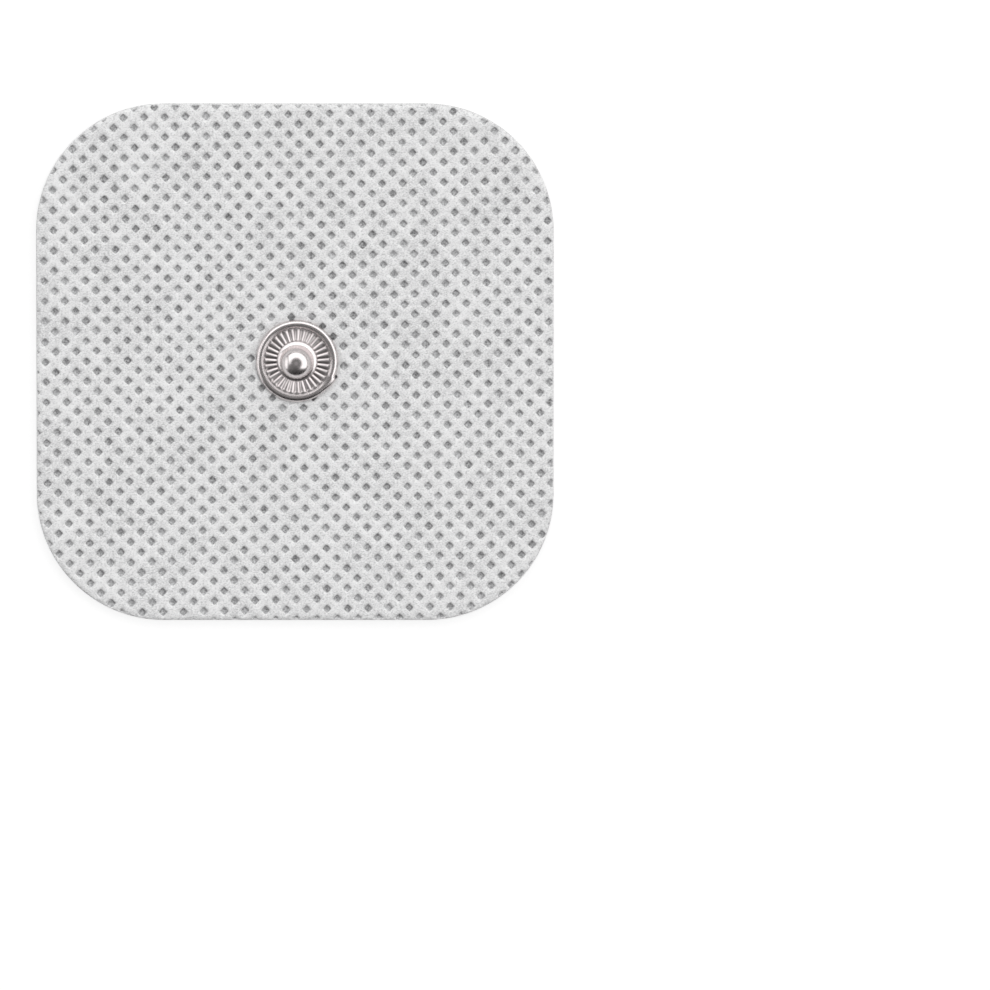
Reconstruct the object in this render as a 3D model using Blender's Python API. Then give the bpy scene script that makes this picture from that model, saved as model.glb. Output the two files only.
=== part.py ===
"""Stimulation electrode pad with a snap stud, lying on its gel face.

A square sheet with round corners is laminated from three layers: adhesive gel below,
a black carbon film in the middle, and a point-bonded nonwoven cover on top. A two-part
metal snap goes through the film and the cover. Its eyelet lies under the film, behind
an insulating disc, and its barrel is spread inside the hollow stud above the cover.

Metres, +Z up. The origin is the middle of the underside, +X and +Y run along the sides.
Between two layers stays a glue line, left open here.
"""

import math

import bmesh
import bpy
from mathutils import Vector
from mathutils.geometry import delaunay_2d_cdt

MM = 0.001

# Outline, the same for all three layers, which are cut in one stroke
PAD_WIDTH = 50.0 * MM
PAD_LENGTH = 50.0 * MM
CORNER_RADIUS = 12.25 * MM
CORNER_STEPS = 16
SIDE_STEPS = 12

# Layers, from the skin side up
GEL_THICKNESS = 0.90 * MM
FILM_THICKNESS = 0.10 * MM
COVER_THICKNESS = 0.40 * MM
COVER_EDGE_THICKNESS = 0.30 * MM
COVER_SEAT_THICKNESS = 0.22 * MM
GLUE_LINE = 0.03 * MM

# Bond points of the cover: a centred grid, given by its half pitches
BOND_HALF_PITCH_X = 0.9935 * MM
BOND_HALF_PITCH_Y = 0.9763 * MM
BOND_ROW_TURN = math.radians(1.15)
BOND_COLUMN_TURN = math.radians(0.93)
BOND_START_X = -0.255 * MM
BOND_START_Y = 0.557 * MM
BOND_FLOOR = 0.12 * MM
RELIEF_MARGIN = 0.35 * MM

# Snap: where its axis stands, and the clearance round it
SNAP_X = 0.20 * MM
SNAP_Y = 0.15 * MM
SIDE_CLEARANCE = 0.05 * MM
SEAT_MARGIN = 0.12 * MM

# Stud, stamped from one sheet: head, neck, foot, ribbed ring and rolled rim
STUD_SHEET = 0.25 * MM
HEAD_RADIUS = 1.50 * MM
NECK_UNDERCUT = 0.18 * MM
NECK_SLOPE = math.radians(60.0)
FOOT_SPREAD = 0.64 * MM
FOOT_FILLET = 0.35 * MM
RIB_COUNT = 32
RIB_LENGTH = 1.16 * MM
RIB_HEIGHT = 0.11 * MM
RIB_RAMP = 0.12 * MM
RIM_HOLLOW = 0.16 * MM
RIM_CENTRE_HEIGHT = 0.19 * MM

# Eyelet, stamped from one sheet: flange, barrel and spread end
EYELET_SHEET = 0.20 * MM
EYELET_RADIUS = 3.40 * MM
BARREL_CLEARANCE = 0.10 * MM
SPREAD_HOLD = 0.04 * MM
SPREAD_RISE = 0.30 * MM

# Insulating disc, stuck over the eyelet's flange and round it
DISC_SHEET = 0.08 * MM
DISC_MARGIN = 2.00 * MM
DISC_RAMP = 0.35 * MM

# Fineness of round shapes
RING_STEPS = 40
HEAD_STEPS = 8
FILLET_STEPS = 2
RIM_STEPS = 5

# Heights of the layers' faces, and radii that follow from the snap's own sizes
FILM_BOTTOM = GEL_THICKNESS + GLUE_LINE
FILM_TOP = FILM_BOTTOM + FILM_THICKNESS
COVER_BOTTOM = FILM_TOP + GLUE_LINE
COVER_TOP = COVER_BOTTOM + COVER_THICKNESS
COVER_SEAT = COVER_BOTTOM + COVER_SEAT_THICKNESS
STUD_BOTTOM = COVER_SEAT + GLUE_LINE
EYELET_TOP = FILM_BOTTOM - GLUE_LINE

NECK_RADIUS = HEAD_RADIUS - NECK_UNDERCUT
FOOT_RADIUS = NECK_RADIUS + FOOT_SPREAD
RIB_END_RADIUS = FOOT_RADIUS + RIB_LENGTH
RIM_TUBE_RADIUS = RIM_HOLLOW + STUD_SHEET
RIM_CENTRE_RADIUS = RIB_END_RADIUS + RIM_TUBE_RADIUS
STUD_RADIUS = RIM_CENTRE_RADIUS + RIM_TUBE_RADIUS
NECK_BORE = NECK_RADIUS - STUD_SHEET
BARREL_RADIUS = NECK_BORE - BARREL_CLEARANCE
HOLE_RADIUS = BARREL_RADIUS + SIDE_CLEARANCE
DISC_RADIUS = EYELET_RADIUS + DISC_MARGIN

# The plane work runs in millimetres, where a micrometre is a safe merging distance
PLANE_UNIT = MM
PLANE_MERGE = 0.001


def clear_scene():
    for item in list(bpy.data.objects):
        bpy.data.objects.remove(item, do_unlink=True)


def material(name, colour, roughness, metallic=0.0, alpha=1.0):
    made = bpy.data.materials.new(name)
    made.use_nodes = True
    shader = made.node_tree.nodes["Principled BSDF"]
    shader.inputs["Base Color"].default_value = (*colour, 1.0)
    shader.inputs["Roughness"].default_value = roughness
    shader.inputs["Metallic"].default_value = metallic
    shader.inputs["Alpha"].default_value = alpha
    made.diffuse_color = (*colour, alpha)
    return made


def add_object(name, vertices, faces, finish, place=(0.0, 0.0, 0.0), sharp_above=30.0):
    """One closed body, with its faces turned outwards and its round stretches smooth."""
    mesh = bpy.data.meshes.new(name)
    mesh.from_pydata(vertices, [], faces)
    work = bmesh.new()
    work.from_mesh(mesh)
    bmesh.ops.recalc_face_normals(work, faces=work.faces)
    work.to_mesh(mesh)
    work.free()
    mesh.shade_smooth()
    mesh.set_sharp_from_angle(angle=math.radians(sharp_above))
    mesh.materials.append(finish)
    made = bpy.data.objects.new(name, mesh)
    made.location = place
    bpy.context.collection.objects.link(made)
    return made


def pad_outline(height):
    """The square with round corners, counter-clockwise, all points at one height."""
    reach_x = PAD_WIDTH / 2.0 - CORNER_RADIUS
    reach_y = PAD_LENGTH / 2.0 - CORNER_RADIUS
    corners = [(reach_x, reach_y), (-reach_x, reach_y), (-reach_x, -reach_y), (reach_x, -reach_y)]
    bends = []
    for quarter, (x, y) in enumerate(corners):
        angles = [math.pi / 2.0 * (quarter + step / CORNER_STEPS) for step in range(CORNER_STEPS + 1)]
        bends.append([(x + CORNER_RADIUS * math.cos(a), y + CORNER_RADIUS * math.sin(a)) for a in angles])
    points = []
    for quarter, bend in enumerate(bends):
        points += bend
        side_start, side_end = Vector(bend[-1]), Vector(bends[(quarter + 1) % 4][0])
        points += [tuple(side_start.lerp(side_end, step / SIDE_STEPS)) for step in range(1, SIDE_STEPS)]
    return [(x, y, height) for x, y in points]


def snap_ring(radius, height):
    """A circle round the snap's axis, counter-clockwise, at one height."""
    angles = [math.tau * step / RING_STEPS for step in range(RING_STEPS)]
    return [(SNAP_X + radius * math.cos(a), SNAP_Y + radius * math.sin(a), height) for a in angles]


def depth_inside_outline(x, y):
    """How far a point lies inside the pad's outline, negative outside it."""
    over_x = abs(x) - PAD_WIDTH / 2.0 + CORNER_RADIUS
    over_y = abs(y) - PAD_LENGTH / 2.0 + CORNER_RADIUS
    beyond_corner_centre = math.hypot(max(over_x, 0.0), max(over_y, 0.0))
    return CORNER_RADIUS - beyond_corner_centre - min(max(over_x, over_y), 0.0)


def height_field(loops, dots=(), creases=(), has_hole=False):
    """Triangles over nested loops and the dots between them, all (x, y, z) points.

    The first loop is the outline. With has_hole, the last loop is left open.
    A crease is an edge between two dots.
    """
    points = [point for loop in loops for point in loop]
    edges = []
    first = 0
    for loop in loops:
        count = len(loop)
        edges += [(first + k, first + (k + 1) % count) for k in range(count)]
        first += count
    edges += [(first + a, first + b) for a, b in creases]
    hole_start = first - len(loops[-1])
    points += list(dots)
    plane = [Vector((x / PLANE_UNIT, y / PLANE_UNIT)) for x, y, _ in points]
    _, _, triangles, sources, _, _ = delaunay_2d_cdt(plane, edges, [], 1, PLANE_MERGE)
    faces = [[sources[corner][0] for corner in triangle] for triangle in triangles]
    if has_hole:
        in_hole = range(hole_start, first)
        faces = [face for face in faces if not all(corner in in_hole for corner in face)]
    return points, faces


def wall(upper_start, lower_start, count):
    """Quads between two loops of as many points."""
    quads = []
    for k in range(count):
        after = (k + 1) % count
        quads.append((upper_start + k, upper_start + after, lower_start + after, lower_start + k))
    return quads


def add_sheet(name, top_loops, bottom_height, finish, dots=(), creases=(), has_hole=False):
    """A layer between a top surface and a flat underside, with a hole if it has one."""
    bottom_loops = [pad_outline(bottom_height)]
    if has_hole:
        bottom_loops.append(snap_ring(HOLE_RADIUS, bottom_height))
    top_points, top_faces = height_field(top_loops, dots, creases, has_hole)
    bottom_points, bottom_faces = height_field(bottom_loops, has_hole=has_hole)
    shift = len(top_points)
    faces = top_faces + [[corner + shift for corner in reversed(face)] for face in bottom_faces]
    faces += wall(0, shift, len(top_loops[0]))
    if has_hole:
        top_hole = sum(len(loop) for loop in top_loops[:-1])
        faces += wall(top_hole, shift + len(bottom_loops[0]), RING_STEPS)
    return add_object(name, top_points + bottom_points, faces, finish)


def add_turned(name, profiles, segments, finish):
    """A closed profile of (radius, height) points turned about the snap's axis.

    More than one profile, point for point alike, alternate from segment to segment.
    A point on the axis is the same in each profile and becomes one vertex.
    """
    vertices = []
    rows = []
    for index, (radius, height) in enumerate(profiles[0]):
        if radius == 0.0:
            rows.append([len(vertices)] * segments)
            vertices.append((0.0, 0.0, height))
            continue
        rows.append([len(vertices) + k for k in range(segments)])
        for k in range(segments):
            angle = math.tau * k / segments
            r, z = profiles[k % len(profiles)][index]
            vertices.append((r * math.cos(angle), r * math.sin(angle), z))
    faces = []
    for upper, lower in zip(rows, rows[1:] + rows[:1]):
        for k in range(segments):
            after = (k + 1) % segments
            corners = [upper[k], upper[after], lower[after], lower[k]]
            corners = list(dict.fromkeys(corners))
            if len(corners) > 2:
                faces.append(corners)
    return add_object(name, vertices, faces, finish, (SNAP_X, SNAP_Y, 0.0))


def arc(centre, radius, start, end, steps):
    """Points of a profile on a circle, from one angle to another, in degrees."""
    angles = [math.radians(start + (end - start) * step / steps) for step in range(steps + 1)]
    return [(centre[0] + radius * math.cos(a), centre[1] + radius * math.sin(a)) for a in angles]


def add_gel():
    """The adhesive gel, which gives way round the insulating disc on its upper side."""
    margin_height = EYELET_TOP - DISC_SHEET - GLUE_LINE
    floor_height = margin_height - EYELET_SHEET - GLUE_LINE
    ramp_start = EYELET_RADIUS + 2.0 * SIDE_CLEARANCE
    loops = [
        pad_outline(GEL_THICKNESS),
        snap_ring(DISC_RADIUS + 2.0 * SIDE_CLEARANCE, GEL_THICKNESS),
        snap_ring(DISC_RADIUS + SIDE_CLEARANCE, margin_height),
        snap_ring(ramp_start + DISC_RAMP + SIDE_CLEARANCE, margin_height),
        snap_ring(ramp_start + SIDE_CLEARANCE, floor_height),
    ]
    finish = material("gel", (0.80, 0.80, 0.76), 0.12, alpha=0.55)
    add_sheet("gel_sheet", loops, 0.0, finish)


def add_disc():
    """The insulating disc: flat under the eyelet, ramped up to the film round it."""
    ramp_start = EYELET_RADIUS + 2.0 * SIDE_CLEARANCE
    low = EYELET_TOP - EYELET_SHEET - GLUE_LINE
    profile = [
        (0.0, low),
        (ramp_start, low),
        (ramp_start + DISC_RAMP, EYELET_TOP),
        (DISC_RADIUS, EYELET_TOP),
        (DISC_RADIUS, EYELET_TOP - DISC_SHEET),
        (ramp_start + DISC_RAMP, EYELET_TOP - DISC_SHEET),
        (ramp_start, low - DISC_SHEET),
        (0.0, low - DISC_SHEET),
    ]
    finish = material("insulating_film", (0.78, 0.78, 0.77), 0.45)
    add_turned("insulating_disc", [profile], RING_STEPS, finish)


def add_film():
    """The carbon film, with a hole for the eyelet's barrel."""
    loops = [pad_outline(FILM_TOP), snap_ring(HOLE_RADIUS, FILM_TOP)]
    finish = material("carbon_film", (0.022, 0.022, 0.024), 0.5)
    add_sheet("carbon_film", loops, FILM_BOTTOM, finish, has_hole=True)


def bond_grid(seat_radius):
    """Points of the cover's relief: a bond where column and row are both even or both odd.

    Between the bonds stand the pillows, and a crease joins each pillow to the next one
    across the corner, so that every bond is a pit with a diamond for its rim.
    """
    reach = int(max(PAD_WIDTH, PAD_LENGTH) / min(BOND_HALF_PITCH_X, BOND_HALF_PITCH_Y))
    row = Vector((math.cos(BOND_ROW_TURN), math.sin(BOND_ROW_TURN))) * BOND_HALF_PITCH_X
    column = Vector((-math.sin(BOND_COLUMN_TURN), math.cos(BOND_COLUMN_TURN))) * BOND_HALF_PITCH_Y
    dots = []
    place = {}
    for i in range(-reach, reach + 1):
        for j in range(-reach, reach + 1):
            x, y = Vector((BOND_START_X, BOND_START_Y)) + i * row + j * column
            from_snap = math.hypot(x - SNAP_X, y - SNAP_Y)
            if depth_inside_outline(x, y) < RELIEF_MARGIN or from_snap < seat_radius + RELIEF_MARGIN:
                continue
            is_bond = (i + j) % 2 == 0
            place[i, j] = len(dots)
            dots.append((x, y, COVER_BOTTOM + BOND_FLOOR if is_bond else COVER_TOP))
    creases = []
    for (i, j), index in place.items():
        if (i + j) % 2 == 0:
            continue
        creases += [(index, place[i + 1, j + side]) for side in (-1, 1) if (i + 1, j + side) in place]
    return dots, creases


def add_cover():
    """The nonwoven cover: bonded all over, pressed flat under the stud, and holed."""
    seat_radius = STUD_RADIUS + SEAT_MARGIN
    dots, creases = bond_grid(seat_radius)
    loops = [
        pad_outline(COVER_BOTTOM + COVER_EDGE_THICKNESS),
        snap_ring(seat_radius, COVER_SEAT),
        snap_ring(HOLE_RADIUS, COVER_SEAT),
    ]
    finish = material("nonwoven", (0.74, 0.74, 0.74), 0.9)
    add_sheet("fabric_cover", loops, COVER_BOTTOM, finish, dots, creases, has_hole=True)


def neck_height():
    """Height of the narrowest place of the neck's outside, above the stud's underside."""
    fillet_end_height = STUD_SHEET + FOOT_FILLET * (1.0 - math.cos(NECK_SLOPE))
    cone_width = FOOT_SPREAD - FOOT_FILLET * math.sin(NECK_SLOPE)
    return fillet_end_height + cone_width * math.tan(NECK_SLOPE)


def head_centre():
    """Height of the middle of the round head, above the stud's underside."""
    return neck_height() + math.sqrt(HEAD_RADIUS ** 2 - NECK_RADIUS ** 2)


def head_arc(radius, neck_radius, steps):
    """One side of the head's section, from the axis at the top to the neck."""
    lowest = -math.degrees(math.acos(neck_radius / radius))
    points = arc((0.0, head_centre()), radius, 90.0, lowest, steps)
    return [(0.0, points[0][1])] + points[1:]


def stud_profile(rib_height):
    """The stud's section above its underside, along a rib or, at no height, between two."""
    slope = math.degrees(NECK_SLOPE)
    foot_centre = (FOOT_RADIUS, STUD_SHEET + FOOT_FILLET)
    outer_foot = arc(foot_centre, FOOT_FILLET, 270.0 - slope, 270.0, FILLET_STEPS)
    inner_foot = arc(foot_centre, FOOT_FILLET + STUD_SHEET, 270.0, 270.0 - slope, FILLET_STEPS)
    ribs = [
        (FOOT_RADIUS + RIB_RAMP, STUD_SHEET + rib_height),
        (RIB_END_RADIUS - RIB_RAMP, STUD_SHEET + rib_height),
    ]
    rim_centre = (RIM_CENTRE_RADIUS, RIM_CENTRE_HEIGHT)
    rim_foot = math.degrees(math.asin(max(STUD_SHEET - RIM_CENTRE_HEIGHT, 0.0) / RIM_TUBE_RADIUS))
    outer_rim = arc(rim_centre, RIM_TUBE_RADIUS, 180.0 - rim_foot, 0.0, RIM_STEPS)
    inner_rim = arc(rim_centre, RIM_HOLLOW, 0.0, 180.0, RIM_STEPS // 2)
    lip = [(STUD_RADIUS, 0.0), (STUD_RADIUS - STUD_SHEET, 0.0)]
    ring_edge = [(RIM_CENTRE_RADIUS - RIM_HOLLOW, 0.0)]
    outside = head_arc(HEAD_RADIUS, NECK_RADIUS, HEAD_STEPS) + outer_foot + ribs + outer_rim
    inside = inner_rim + ring_edge + inner_foot
    inside += list(reversed(head_arc(HEAD_RADIUS - STUD_SHEET, NECK_BORE, HEAD_STEPS // 2)))
    return [(radius, height + STUD_BOTTOM) for radius, height in outside + lip + inside]


def add_stud():
    """The snap's male half, hollow from below, with radial ribs between foot and rim."""
    finish = material("nickel_plate", (0.78, 0.75, 0.73), 0.16, metallic=1.0)
    add_turned("snap_stud", [stud_profile(RIB_HEIGHT), stud_profile(0.0)], 2 * RIB_COUNT, finish)


def add_eyelet():
    """The snap's lower half: a flange under the film and a barrel spread inside the head."""
    bore = BARREL_RADIUS - EYELET_SHEET
    spread_radius = NECK_BORE + SPREAD_HOLD
    spread_height = STUD_BOTTOM + neck_height() + SPREAD_RISE
    bend = arc((BARREL_RADIUS, EYELET_TOP), EYELET_SHEET, 270.0, 180.0, FILLET_STEPS)
    profile = [
        (spread_radius, spread_height + EYELET_SHEET),
        (spread_radius, spread_height),
        (BARREL_RADIUS, spread_height - (spread_radius - BARREL_RADIUS)),
        (BARREL_RADIUS, EYELET_TOP),
        (EYELET_RADIUS, EYELET_TOP),
        (EYELET_RADIUS, EYELET_TOP - EYELET_SHEET),
        *bend,
        (bore, spread_height),
    ]
    finish = material("eyelet_metal", (0.70, 0.69, 0.67), 0.3, metallic=1.0)
    add_turned("snap_eyelet", [profile], RING_STEPS, finish)


clear_scene()
add_gel()
add_disc()
add_film()
add_cover()
add_eyelet()
add_stud()
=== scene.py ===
"""Snap electrode pad: cloth, metal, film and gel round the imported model, on a pale table."""

import math

import bpy
import numpy as np
from bpy.props import FloatProperty, FloatVectorProperty, IntProperty, PointerProperty
from mathutils import Euler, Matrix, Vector
from mathutils.geometry import delaunay_2d_cdt


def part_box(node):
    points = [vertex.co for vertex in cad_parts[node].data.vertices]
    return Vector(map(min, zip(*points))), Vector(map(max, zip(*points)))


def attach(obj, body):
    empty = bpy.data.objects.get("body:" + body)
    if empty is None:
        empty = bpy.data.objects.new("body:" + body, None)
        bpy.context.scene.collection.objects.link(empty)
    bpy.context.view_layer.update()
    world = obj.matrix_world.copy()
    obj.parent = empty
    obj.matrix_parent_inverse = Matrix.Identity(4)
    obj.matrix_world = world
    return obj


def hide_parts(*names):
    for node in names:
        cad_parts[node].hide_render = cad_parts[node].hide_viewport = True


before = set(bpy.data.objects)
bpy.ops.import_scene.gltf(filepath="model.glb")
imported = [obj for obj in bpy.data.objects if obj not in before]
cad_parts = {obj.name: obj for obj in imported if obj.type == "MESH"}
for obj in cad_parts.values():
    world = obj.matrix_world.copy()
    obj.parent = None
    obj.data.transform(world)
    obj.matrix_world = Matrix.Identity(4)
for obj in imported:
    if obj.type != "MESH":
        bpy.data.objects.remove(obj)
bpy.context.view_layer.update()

bl_info = {
    "name": "Snap Electrode Pad",
    "version": (1, 0, 0),
    "blender": (4, 5, 0),
    "location": "3D View > Sidebar > Electrode Pad",
    "description": "Makes the embossed cover, metal stud, gel and table of a snap electrode pad",
    "category": "Object",
}

MM = 0.001
COVER_LOW, COVER_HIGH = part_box("fabric_cover")
STUD_LOW, STUD_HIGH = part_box("snap_stud")
GEL_LOW, GEL_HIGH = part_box("gel_sheet")
DISC_LOW, DISC_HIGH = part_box("insulating_disc")
FULL_TURN = math.tau
NOISE_REACH = 30.0 * MM


def middle(low, high):
    """The middle of a box, seen from above."""
    return (low[0] + high[0]) / 2.0, (low[1] + high[1]) / 2.0


SNAP_X, SNAP_Y = middle(STUD_LOW, STUD_HIGH)


def length(name, text, default, lowest=0.0):
    return FloatProperty(
        name=name, description=text, default=default, min=lowest, unit="LENGTH", precision=5
    )


def angle(name, text, degrees):
    return FloatProperty(name=name, description=text, default=math.radians(degrees), subtype="ANGLE")


def share(name, text, default):
    return FloatProperty(name=name, description=text, default=default, min=0.0, max=1.0)


def amount(name, text, default):
    return FloatProperty(name=name, description=text, default=default, min=0.0)


def colour(name, text, red, green, blue):
    shade = (red, green, blue, 1.0)
    return FloatVectorProperty(
        name=name, description=text, default=shade, size=4, subtype="COLOR", min=0.0, max=1.0
    )


class PadCoverSettings(bpy.types.PropertyGroup):
    """Sizes and colours of the nonwoven cover"""

    corner_radius: length("Corner Radius", "Radius of the pad's corners", 12.25 * MM)
    edge_share: share("Edge Thickness", "Share of the thickness left at the cut edge", 0.74)
    seat_thickness: length("Seat Thickness", "Thickness pressed flat under the stud", 0.22 * MM)
    seat_radius: length("Seat Radius", "Radius of the flat seat under the stud", 4.06 * MM)
    seat_ramp: length("Seat Ramp", "Width over which the cloth rises round the stud", 0.25 * MM)
    hole_radius: length("Hole Radius", "Radius of the hole for the snap's barrel", 1.02 * MM)
    pitch_x: length("Half Pitch X", "Half the distance between bonds in a row", 0.9945 * MM)
    pitch_y: length("Half Pitch Y", "Distance between rows of bonds", 0.9790 * MM)
    row_turn: angle("Row Turn", "How far the rows of bonds lean from the sides", 1.15)
    column_turn: angle("Column Turn", "How far the columns of bonds lean", 0.87)
    start_x: length("Start X", "Place of one bond across the pad", -0.274 * MM, -1.0)
    start_y: length("Start Y", "Place of one bond along the pad", 0.467 * MM, -1.0)
    bond_floor: length("Bond Floor", "Thickness of the cloth in a bond", 0.13 * MM)
    shoulder: length("Shoulder", "Thickness of the cloth at a bond's edge", 0.365 * MM)
    cloth_colour: colour("Cloth", "Loose fibres between the bonds", 0.86, 0.86, 0.86)
    cloth_shade: colour("Cloth Shade", "Gaps between the fibres", 0.52, 0.52, 0.525)
    bond_colour: colour("Bond", "Fused cloth with the black film behind it", 0.365, 0.365, 0.37)
    pressed_colour: colour("Pressed Bond", "Bonds pressed open beside the stud", 0.035, 0.037, 0.037)


class PadStudSettings(bpy.types.PropertyGroup):
    """Sizes and colours of the snap's stud"""

    sheet: length("Sheet", "Thickness of the metal", 0.25 * MM)
    head_radius: length("Head Radius", "Radius of the round head", 1.52 * MM)
    head_rise: length("Head Rise", "Height of the head's dome", 1.30 * MM)
    head_x: length("Head X", "How far the head stands beside the ring's middle", -0.05 * MM, -1.0)
    head_y: length("Head Y", "How far the head stands beyond the ring's middle", -0.11 * MM, -1.0)
    neck_radius: length("Neck Radius", "Radius of the neck under the head", 1.32 * MM)
    neck_slope: angle("Neck Slope", "Steepness of the cone below the neck", 48.0)
    foot_radius: length("Foot Radius", "Radius where the bend meets the flat ring", 2.22 * MM)
    foot_fillet: length("Foot Fillet", "Radius of the bend at the cone's foot", 0.88 * MM)
    rib_start: length("Rib Start", "Radius where the ribs rise from the bend", 1.90 * MM)
    rib_count: IntProperty(name="Ribs", description="Number of radial ribs", default=32, min=3)
    rib_end: length("Rib End", "Radius where the ribs meet the rim", 3.12 * MM)
    ring_height: length("Ring Height", "Height of the ring's top between its ribs", 0.38 * MM)
    rim_start: length("Rim Start", "Radius where the ring bends up into the rim", 2.90 * MM)
    rib_height: length("Rib Height", "Height of the ribs", 0.11 * MM)
    rim_hollow: length("Rim Hollow", "Inner radius of the rolled rim", 0.16 * MM)
    rim_height: length("Rim Height", "Height of the middle of the rolled rim", 0.19 * MM)
    fold_azimuth: angle("Fold", "Where the rim's crease starts, counter-clockwise from +X", -22.0)
    fold_bulge: length("Fold Bulge", "How far the crease stands out", 0.17 * MM)
    metal_colour: colour("Metal", "Bright nickel plate", 0.80, 0.748, 0.745)
    # Painted shade: this colour darkens the plate in the valleys between the ribs.
    groove_shade_colour: colour("Groove", "Dull plate between the ribs", 0.34, 0.295, 0.29)


class PadLayerSettings(bpy.types.PropertyGroup):
    """Sizes and colours of the gel and of the layers under the cover"""

    gel_edge: length("Gel Edge", "Rounding of the gel's edges", 0.07 * MM)
    pocket_gap: length("Pocket Gap", "Room between the gel and the disc", 0.05 * MM)
    gel_colour: colour("Gel", "Clear adhesive gel", 0.93, 0.94, 0.92)
    gel_cloud: colour("Gel Cloud", "Cloudier gel", 0.88, 0.89, 0.86)
    film_colour: colour("Carbon Film", "Black carbon-loaded film", 0.022, 0.022, 0.024)
    film_sheen: colour("Film Scuffs", "Paler scuffs on the film", 0.045, 0.045, 0.048)
    disc_colour: colour("Insulating Disc", "White film over the eyelet", 0.78, 0.78, 0.77)
    eyelet_colour: colour("Eyelet", "Dull nickel plate", 0.70, 0.69, 0.67)


class PadStageSettings(bpy.types.PropertyGroup):
    """The camera, the table and the light"""

    pad_pixels: amount("Pad Width", "Width of the pad in the picture", 517.2)
    pad_pixel_x: amount("Pad X", "Middle of the pad across the picture", 295.0)
    pad_pixel_y: amount("Pad Y", "Middle of the pad down the picture", 362.4)
    camera_tilt: angle("Camera Tilt", "How far the camera leans back from straight down", 4.5)
    table_size: length("Table Size", "Side of the table top", 4.0)
    table_colour: colour("Table", "White table top", 0.24, 0.24, 0.24)
    table_glow: share("Table Glow", "How bright the table is to the camera without light", 0.82)
    arch_light: amount("Window", "Strength of the wide window light", 1.68)
    side_light: amount("Side", "Strength of the narrow light on the left", 1.5)
    room_light: amount("Room", "Strength of the plain light all round", 0.27)
    top_light: amount("Top", "Strength of the small light straight above", 0.22)
    fill_power: amount("Fill", "Power of the soft lamp above", 6.85)


class Signal:
    """A shader socket: arithmetic on it adds Math nodes."""

    def __init__(self, recipe, socket):
        self.recipe = recipe
        self.socket = socket

    def _math(self, operation, *values):
        settings = {"operation": operation}
        return self.recipe.value("ShaderNodeMath", settings, dict(enumerate(values)))

    def __add__(self, other):
        return self._math("ADD", self, other)

    def __sub__(self, other):
        return self._math("SUBTRACT", self, other)

    def __rsub__(self, other):
        return self._math("SUBTRACT", other, self)

    def __mul__(self, other):
        return self._math("MULTIPLY", self, other)

    def __truediv__(self, other):
        return self._math("DIVIDE", self, other)

    def __rtruediv__(self, other):
        return self._math("DIVIDE", other, self)

    def __pow__(self, other):
        return self._math("POWER", self, other)

    def __abs__(self):
        return self._math("ABSOLUTE", self)

    def at_least(self, other):
        return self._math("MAXIMUM", self, other)

    def at_most(self, other):
        return self._math("MINIMUM", self, other)

    def clipped(self):
        return self.at_least(0.0).at_most(1.0)

    def lines(self, sharpness):
        """Thin lines where noise has its middle value."""
        return 1.0 - (abs(self - 0.5) * sharpness).at_most(1.0)

    def eased(self, low, high):
        """Rises smoothly from 0 at low to 1 at high, or falls where low is the larger."""
        settings = {"interpolation_type": "SMOOTHSTEP"}
        if low < high:
            sockets = {"Value": self, "From Min": low, "From Max": high}
            return self.recipe.value("ShaderNodeMapRange", settings, sockets)
        return 1.0 - self.eased(high, low)

    __radd__ = __add__
    __rmul__ = __mul__


class Recipe:
    """Writes the nodes of one material, or of the world."""

    def __init__(self, owner):
        owner.use_nodes = True
        self.tree = owner.node_tree
        self.tree.nodes.clear()

    def node(self, kind, settings=None, sockets=None):
        """Adds a node: its settings first, then the values or links of its sockets."""
        node = self.tree.nodes.new(kind)
        for name, value in (settings or {}).items():
            setattr(node, name, value)
        for key, value in (sockets or {}).items():
            if isinstance(value, Signal):
                self.tree.links.new(value.socket, node.inputs[key])
            else:
                node.inputs[key].default_value = value
        return node

    def value(self, kind, settings=None, sockets=None, output=0):
        """Adds a node and returns one of its outputs."""
        return Signal(self, self.node(kind, settings, sockets).outputs[output])

    def blend(self, factor, first, second):
        """Mixes two colours."""
        sockets = {0: factor, 6: first, 7: second}
        return self.value("ShaderNodeMix", {"data_type": "RGBA"}, sockets, output=2)

    def place(self):
        """The point on the object, in metres."""
        return self.value("ShaderNodeTexCoord", output="Object")

    def painted(self, name):
        """A value stored at the mesh's vertices."""
        return self.value("ShaderNodeAttribute", {"attribute_name": name}, output="Fac")

    def noise(self, place, size, detail=2.0):
        """Soft noise from 0 to 1 with lumps of about one size."""
        sockets = {"Vector": place, "Scale": 1.0 / size, "Detail": detail, "Roughness": 0.5}
        return self.value("ShaderNodeTexNoise", sockets=sockets)

    def streaks(self, place, turn, long, wide, shift):
        """Noise drawn out along one direction."""
        location = (shift, shift * 0.7, 0.0)
        rotate = {"Vector": place, "Location": location, "Rotation": (0.0, 0.0, turn)}
        turned = self.value("ShaderNodeMapping", sockets=rotate)
        stretch = {"Vector": turned, "Scale": (1.0 / long, 1.0 / wide, 1.0 / wide)}
        drawn = self.value("ShaderNodeMapping", sockets=stretch)
        sockets = {"Vector": drawn, "Scale": 1.0, "Detail": 1.5, "Distortion": 0.4}
        return self.value("ShaderNodeTexNoise", sockets=sockets)

    def bump(self, height, depth):
        """A normal tilted by a height from 0 to 1, which stands for a depth in metres."""
        sockets = {"Height": height, "Distance": depth, "Strength": 1.0}
        return self.value("ShaderNodeBump", sockets=sockets)

    def surface(self, sockets):
        """Ends a material in one Principled shader."""
        shader = self.value("ShaderNodeBsdfPrincipled", sockets=sockets)
        self.node("ShaderNodeOutputMaterial", sockets={"Surface": shader})


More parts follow.
